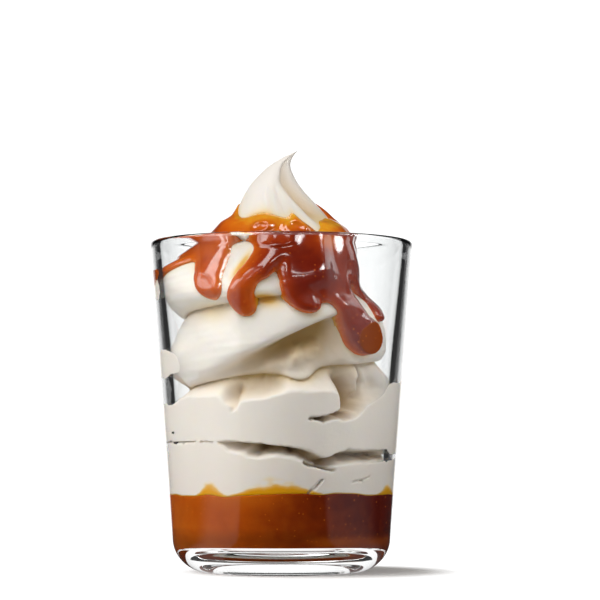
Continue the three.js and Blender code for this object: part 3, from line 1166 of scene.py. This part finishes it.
@dataclass(frozen=True)
class Tumbler(Part):
    """The glass: a smooth turned body."""

    piece = Piece.TUMBLER
    form: TumblerForm
    columns: int = 256

    def build(self) -> Object:
        """Turns the profile round the axis."""
        profile = self.form.profile()
        rings = around(whole_turn(self.columns), profile[:, :1], profile[:, 1:])
        first = (0.0, 0.0, self.form.punt_height)
        last = (0.0, 0.0, self.form.floor_height)
        return mesh_object(self.piece, *closed_rings(rings, first, last))


@dataclass(frozen=True)
class Pool(Part):
    """The caramel in the bottom, which wets the wall, with a film of air between it and the floor."""

    piece = Piece.POOL
    form: CreamForm
    past_wall: float = 0.08
    film: float = 0.3
    wetted_from: float = -62.0
    below_cream: float = 0.05
    columns: int = 256

    def painted_light_and_shade(self, right: Array, up: Array) -> Array:
        """How dark the caramel is painted, from 0 to 1: painted shade more to the right and up, painted light
        in two lit places.
        """
        lit = 0.36 * bell(right, -9.0, 12.0) * bell(up, 25.0, 4.0)
        lit = lit + 0.35 * bell(up, 10.5, 1.6) * smoothstep(right, 5.0, 14.0)
        return np.clip(0.72 + 0.011 * right + 0.01 * (up - 18.0) - lit, 0.0, 1.0)

    def build(self) -> Object:
        """Rings up the rounded corner and the wall, closed by the floor below and the wavy top above."""
        tumbler = self.form.tumbler
        bearing = whole_turn(self.columns)
        centre = tumbler.corner_centre()
        corner = arc(centre, tumbler.floor_corner + self.past_wall, self.wetted_from, 0.0, 20)
        lip = arc(centre, tumbler.floor_corner - self.film, -90.0, self.wetted_from - 4.0, 8)
        spread = places(np.linspace(0.1, 0.95, 8) * lip[0, 0], lip[0, 1])
        lower = np.concatenate([spread, lip, corner])
        top = self.form.level(bearing) - self.below_cream
        height = centre[1] + np.linspace(0.1, 1.0, 16)[:, None] * (top - centre[1])
        inward = np.linspace(0.96, 0.06, 14)[:, None]
        rings = [
            around(bearing, lower[:, :1], lower[:, 1:]),
            around(bearing, tumbler.inner(height) + self.past_wall, height),
            around(bearing, inward * tumbler.inner(top), top),
        ]
        first = (0.0, 0.0, lip[0, 1])
        last = (0.0, 0.0, top.mean())
        vertices, faces = closed_rings(np.concatenate(rings), first, last)
        # painted light and shade, carried as the pool's depth attribute
        depth = self.painted_light_and_shade(vertices[:, 0], vertices[:, 2])
        return mesh_object(self.piece, vertices, faces, {"depth": depth})


@dataclass(frozen=True)
class Cream(Part):
    """The swirl, from its flat base on the pool up to the tip."""

    piece = Piece.CREAM
    form: CreamForm
    topping: ToppingForm
    past_wall: float = 0.08
    columns: int = 400
    rows: int = 236
    base_rings: int = 8
    below_tip: float = 1.0
    spots: tuple[Swell, ...] = (
        Swell(0.9, -4, 8, 86.5, 2.2), Swell(0.27, -40, 14, 83, 3.2), Swell(0.9, -18.5, 3.5, 97.5, 3.5)
    )
    crease_stain: Swell = Swell(0.8, 2, 42, 65, 7)
    smear_bells: tuple[Triple, ...] = (
        (3.4, -41, 7), (4.6, -3, 16), (3.0, 74, 9), (3.6, 125, 16), (3.8, -150, 18)
    )
    edge_grain: Grain = Grain(0.4, 22, 6.0, 15)
    smear_grains: tuple[Grain, ...] = (Grain(0.22, 40, 3.0, 21), Grain(0.22, 120, 1.2, 22))

    def seeped(self, bearing: Array, height: Array) -> Array:
        """Caramel seeped in round the coat, from 0 to 1: a thin edge, more above it, and spots.

        Args:
            bearing: Degrees round the axis.
            height: Millimetres up.

        Returns:
            The share at each place.
        """
        outside = np.maximum(-self.topping.depth_inside(bearing, height), 0.0)
        above = smoothstep(height, 104.0, 109.0)
        patches = 0.6 + self.edge_grain.at(bearing, height)
        stain = (0.35 + 0.3 * above) * patches * np.exp(-outside / (0.7 + 0.7 * above))
        for spot in self.spots:
            stain = np.maximum(stain, spot.at(bearing, height))
        crease = self.crease_stain.at(bearing, height) * (1.0 - self.form.bulge(bearing, height)) ** 4
        return np.maximum(stain, crease)

    def smears(self, bearing: Array, above: Array) -> Array:
        """Caramel drawn up the wall above the pool, from 0 to 1: swells of 3 to 6 mm at some bearings."""
        ragged = sum(grain.at(bearing, above) for grain in self.smear_grains)
        reach = 1.25 * side_bells(bearing, self.smear_bells) * (1.0 + ragged) + 0.15
        return 1.0 - smoothstep(above / reach, 0.25, 1.0)

    def hollow_shade(self, bearing: Array, height: Array, side: Array) -> Array:
        """How deep in a hollow the surface lies, as painted shade from 0 to 1, and 0 where it is pressed on
        the wall.

        Args:
            bearing: Degrees round the axis.
            height: Millimetres up.
            side: The places on the side.

        Returns:
            The share at each place.
        """
        form = self.form
        creases = (1.0 - form.bulge(bearing, height)) ** 3 * (1.0 - smoothstep(height, 98.0, 110.0))
        valleys = form.valleys(bearing, height) / 8.0 + 0.25 * form.peak_groove(bearing, height)
        furrows = np.maximum(form.furrows(bearing, height), 0.0) / 12.0
        return np.clip((creases + valleys + furrows) * (1.0 - form.pressed(side)), 0.0, 1.0)

    def build(self) -> Object:
        """Rings from the base's middle out to the wall, then up the folds to the tip."""
        form = self.form
        bearing = whole_turn(self.columns)
        base = form.level(bearing)
        share = np.linspace(0.0, 1.0, self.rows)[:, None]
        height = base + share * (form.tip_height - self.below_tip - base)
        side = form.place(bearing, height, form.radius(bearing, height), self.past_wall)
        inward = np.linspace(0.1, 0.95, self.base_rings)[:, None]
        under = side[:1] * places(inward, inward, 1.0)
        tip = np.array(form.tip_height)
        first = (0.0, 0.0, base.mean())
        last = (form.axis(tip), form.bow(tip), form.tip_height)
        vertices, faces = closed_rings(np.concatenate([under, side]), first, last)
        stain = np.maximum(self.seeped(bearing, height), self.smears(bearing, height - base))
        unseen = (self.base_rings * self.columns, 2)
        values = {
            # painted shade in the hollows
            "hollow": np.pad(self.hollow_shade(bearing, height, side).reshape(-1), unseen),
            "stain": np.pad(stain.reshape(-1), unseen),
            "pressed": form.pressed(vertices),
            "body": 1.0 - smoothstep(vertices[:, 2], 116.0, 127.0),
        }
        return mesh_object(self.piece, vertices, faces, values)


@dataclass(frozen=True)
class Topping(Part):
    """The caramel coat: an outer skin over the cream and an inner one just under it, joined at the edge."""

    piece = Piece.TOPPING
    form: ToppingForm
    columns: int = 520
    rows: int = 190
    span: Pair = (64.0, 124.0)
    shows_from: float = -1.0
    sunk: float = 0.9
    past_wall: float = 0.08
    inner_wall: float = -0.4
    fills: int = 20
    softens: int = 7

    def build(self) -> Object:
        """Keeps the quads whose coat is thick enough to show, doubles them inwards and closes the rim."""
        cream = self.form.cream
        bearing = whole_turn(self.columns)
        height = np.linspace(*self.span, self.rows)[:, None] * np.ones_like(bearing)
        thickness = self.form.thickness_at(bearing, height)
        radius = cream.radius(bearing, height)
        coated = blurred(np.maximum(radius, blurred(radius, self.fills)), self.softens) + thickness
        sag = blurred(cream.sag(bearing, height), self.fills)
        outer = cream.place(bearing, height, coated, self.past_wall, sag)
        inner_radius = np.maximum(np.minimum(radius, coated) - self.sunk, 0.1)
        inner = cream.place(bearing, height, inner_radius, self.inner_wall)
        quads = ring_faces(self.rows, self.columns)
        shown = (thickness.reshape(-1)[quads] > self.shows_from).any(axis=1)
        kept = quads[without_corner_touches(shown.reshape(self.rows - 1, self.columns)).reshape(-1)]
        vertices, faces, used = closed_shell(outer.reshape(-1, 3), inner.reshape(-1, 3), kept)
        depth = self.form.cover(bearing, height).reshape(-1)
        values = {"depth": np.concatenate([depth, depth])[used], "pressed": cream.pressed(vertices)}
        return mesh_object(self.piece, vertices, faces, values)


# ------------------------------ studio


LOOKED_AT = (0.0, 0.0, 0.07)


def aim(made: Object, place: Triple, target: Triple = LOOKED_AT) -> None:
    """Puts an object somewhere and turns its -Z to a target."""
    made.location = place
    made.rotation_euler = (Vector(target) - made.location).to_track_quat("-Z", "Y").to_euler()


@dataclass(frozen=True)
class Lamp:
    """A soft rectangular lamp that looks at the middle of the sundae."""

    title: str
    place: Triple
    size: Pair
    watts: float

    def build(self) -> None:
        """Makes it, unseen by the camera."""
        data = bpy.data.lights.new(self.title, "AREA")
        data.shape = "RECTANGLE"
        data.size, data.size_y = self.size
        data.energy = self.watts
        made = linked(self.title, data)
        aim(made, self.place)
        made.visible_camera = False


@dataclass(frozen=True)
class Panel:
    """A panel that faces the sundae and that only reflections find.

    Args:
        title: Its name.
        place: Where its middle is.
        size: Its width and height.
        strength: How bright its middle is.
        crisp: The share of its half size that is fully bright.
    """

    title: str
    place: Triple
    size: Pair
    strength: float
    crisp: float

    def build(self) -> None:
        """Makes it, with edges that fade."""
        half = [side / 2 for side in self.size]
        corners = [(x * half[0], y * half[1], 0.0) for x, y in ((-1, -1), (1, -1), (1, 1), (-1, 1))]
        mesh = bpy.data.meshes.new(self.title)
        mesh.from_pydata(corners, [], [(0, 1, 2, 3)])
        panel = linked(self.title, mesh)
        aim(panel, self.place)
        made, nodes = new_material(self.title)
        parts = nodes.parts(nodes.place())
        fades = [nodes.fade(nodes.math("ABSOLUTE", parts[k]), half[k], self.crisp * half[k]) for k in (0, 1)]
        nodes.surface(nodes.emission(nodes.product(*fades, self.strength)))
        mesh.materials.append(made)
        for unseen in ("visible_camera", "visible_diffuse", "visible_transmission", "visible_shadow"):
            setattr(panel, unseen, False)


LIGHTS = (
    Lamp("left", (-0.85, -0.3, 0.8), (0.6, 0.6), 4.8),
    Lamp("top", (-0.30, -0.2, 1.15), (0.5, 0.5), 4.5),
    Lamp("right", (0.9, 0.55, 0.7), (0.5, 0.5), 1.2),
    Panel("left_glow", (-0.85, -0.53, 0.23), (0.62, 0.44), 2.6, 0.4),
    Panel("right_glow", (0.94, -0.34, 0.23), (0.42, 0.44), 1.3, 0.4),
    Panel("high_glow", (0.66, -0.14, 0.74), (0.36, 0.30), 11.0, 0.8),
    Lamp("spark", (-0.30, -0.50, 0.80), (0.08, 0.25), 0.6),
    Lamp("second_spark", (0.26, -0.50, 0.80), (0.18, 0.14), 0.7),
    Lamp("right_spark", (0.67, -0.03, 0.70), (0.26, 0.20), 1.1),
)


@dataclass(frozen=True)
class Studio:
    """A white sweep, a pale floor, and a dark room with softly lit sides that only reflections find."""

    distance: float = 0.79
    eye_height: float = 0.0412
    focal_pixels: float = 2472.0
    frame_pixels: float = 600.0
    horizon_row: float = 442.0
    axis_column: float = 281.5
    sensor: float = 36.0
    white: float = 1.2
    painted_light_under_foot: float = 1.1
    fill: float = 0.155
    fill_colour: Colour = (1.0, 0.955, 0.89, 1.0)
    room_colour: Colour = (0.02, 0.02, 0.022, 1.0)
    floor_seen: Colour = (0.9, 0.89, 0.875, 1.0)
    floor_unseen: Colour = (0.3, 0.3, 0.3, 1.0)
    floor_size: float = 8.0
    sweep_edge: Pair = (0.90, 0.96)
    shadow_centre: Triple = (0.012, 0.0, 0.0)
    shadow_edge: Pair = (0.031, 0.051)
    foot_edge: Pair = (0.040, 0.030)
    near: float = 0.2
    steep: float = 0.15
    left_side: tuple[float, ...] = (-1.55, -1.15, -0.70, -0.64, 0.5)
    right_side: tuple[float, ...] = (0.68, 0.78, 1.20, 1.95, 0.35)
    dim: float = 0.03

    def camera(self) -> None:
        """Aims a long lens so that the horizon and the sundae's axis fall on their row and column."""
        data = bpy.data.cameras.new("camera")
        data.sensor_width = self.sensor
        data.lens = self.sensor * self.focal_pixels / self.frame_pixels
        made = linked("camera", data)
        middle = self.frame_pixels / 2
        aim_right = (middle - self.axis_column) / self.focal_pixels * self.distance
        aim_up = (self.horizon_row - middle) / self.focal_pixels * self.distance
        aim(made, (0.0, -self.distance, self.eye_height), (aim_right, 0.0, self.eye_height + aim_up))
        bpy.context.scene.camera = made

    def lit_side(self, nodes: Nodes, angle: Link, side: tuple[float, ...]) -> Link:
        """A strength, given last, that comes in between two angles, in radians, and goes between two more."""
        rise = nodes.fade(angle, side[0], side[1])
        fall = nodes.fade(angle, side[3], side[2])
        return nodes.product(rise, fall, side[4])

    def turned_in_glass(self, nodes: Nodes, path: bpy.types.Node) -> Link:
        """1 for light that went through one wall of glass only, as it does in the rim."""
        once = nodes.math("LESS_THAN", path.outputs["Transmission Depth"], 3.5)
        return nodes.product(once, path.outputs["Is Transmission Ray"])

    def floor(self) -> None:
        """A wide pale floor, white but for the shadow's place, with painted light under the foot where the
        floor is seen through the glass, and in reflections dark with two lit sides.
        """
        bpy.ops.mesh.primitive_plane_add(size=self.floor_size, location=(0.0, 0.0, 0.0))
        floor = bpy.context.object
        floor.name = "floor"
        made, nodes = new_material("pale_floor")
        place = nodes.place()
        right, back, _ = nodes.parts(place)
        path = nodes.add("LightPath")
        seen = nodes.math("LESS_THAN", path.outputs["Diffuse Depth"], 0.5)
        distance = nodes.add("VectorMath", {0: place}, operation="LENGTH").outputs["Value"]
        pale = nodes.mix(seen, self.floor_unseen, self.floor_seen)
        matte = nodes.add("BsdfDiffuse", {"Color": pale}).outputs[0]
        reach = nodes.add("VectorMath", {0: place, 1: self.shadow_centre}, operation="DISTANCE")
        share = nodes.product(nodes.fade(reach.outputs["Value"], *self.shadow_edge), seen)
        shader = nodes.blend(share, matte, nodes.emission(self.white))
        bearing = nodes.math("ARCTAN2", right, nodes.product(back, -1.0))
        sides = [self.lit_side(nodes, bearing, side) for side in (self.left_side, self.right_side)]
        room = nodes.emission(nodes.math("ADD", nodes.math("ADD", *sides), self.dim))
        behind = nodes.fade(nodes.math("DIVIDE", back, distance), *self.sweep_edge, "LINEAR")
        mirrored = nodes.math("GREATER_THAN", path.outputs["Glossy Depth"], 0.5)
        near = nodes.math("LESS_THAN", distance, self.near)
        outside = nodes.rest(nodes.product(near, self.turned_in_glass(nodes, path)))
        shader = nodes.blend(nodes.product(mirrored, seen, nodes.rest(behind), outside), shader, room)
        # painted light: the floor under the foot glows when it is seen through the glass
        through = nodes.math("GREATER_THAN", path.outputs["Transmission Depth"], 0.5)
        under = nodes.product(through, seen, nodes.fade(distance, *self.foot_edge))
        nodes.surface(nodes.blend(under, shader, nodes.emission(self.painted_light_under_foot)))
        floor.data.materials.append(made)

    def world(self) -> None:
        """The white sweep, soft fill light, and the dark room that leaves the sweep behind it open."""
        world = bpy.data.worlds.new("white_sweep")
        bpy.context.scene.world = world
        world.use_nodes = True
        world.cycles.sampling_method = "NONE"
        nodes = Nodes(world.node_tree)
        path = nodes.add("LightPath")
        _, back, up = nodes.parts(nodes.place())
        steep = nodes.math("GREATER_THAN", nodes.math("ABSOLUTE", up), self.steep)
        reflected = nodes.math("COMPARE", path.outputs["Glossy Depth"], 1.0, 0.5)
        ahead = nodes.rest(nodes.fade(back, *self.sweep_edge, "LINEAR"))
        outside = nodes.rest(nodes.product(steep, self.turned_in_glass(nodes, path)))
        dark = nodes.product(reflected, ahead, outside)
        scattered = nodes.math("GREATER_THAN", path.outputs["Diffuse Depth"], 0.5)
        skies = ((WHITE, self.white), (self.fill_colour, self.fill), (self.room_colour, 1.0))
        sweep, fill, room = (
            nodes.add("Background", {"Color": colour, "Strength": strength}).outputs[0]
            for colour, strength in skies
        )
        seen = nodes.blend(dark, sweep, room)
        nodes.add("OutputWorld", {"Surface": nodes.blend(scattered, seen, fill)})

    def build(self) -> None:
        """Sets up camera, floor, lights and world."""
        self.camera()
        self.floor()
        for light in LIGHTS:
            light.build()
        self.world()
        bpy.context.scene.view_settings.view_transform = "Standard"
        bpy.context.scene.view_settings.look = "None"


def main() -> None:
    """Builds the pieces and the studio."""
    logging.basicConfig(level=logging.INFO, format="%(name)s %(message)s")
    high_rim = np.array(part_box("glass_tumbler")[1]) / MM
    high_tip = np.array(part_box("cream_swirl")[1]) / MM
    tumbler = TumblerForm(rim_height=float(high_rim[2]), rim_radius=float(high_rim[0]))
    cream = CreamForm(tumbler=tumbler, tip_height=float(high_tip[2]))
    topping = ToppingForm(cream=cream)
    effects = Effects()
    Tumbler(tumbler).dress(GlassFinish().make())
    Pool(cream).dress(CaramelFinish("pool_caramel", POOL_STOPS, all_on_glass=True).make(effects))
    Cream(cream, topping).dress(CreamFinish().make(effects))
    Topping(topping).dress(CaramelFinish("running_caramel", TOPPING_STOPS).make(effects))
    Studio().build()


if __name__ == "__main__":
    main()
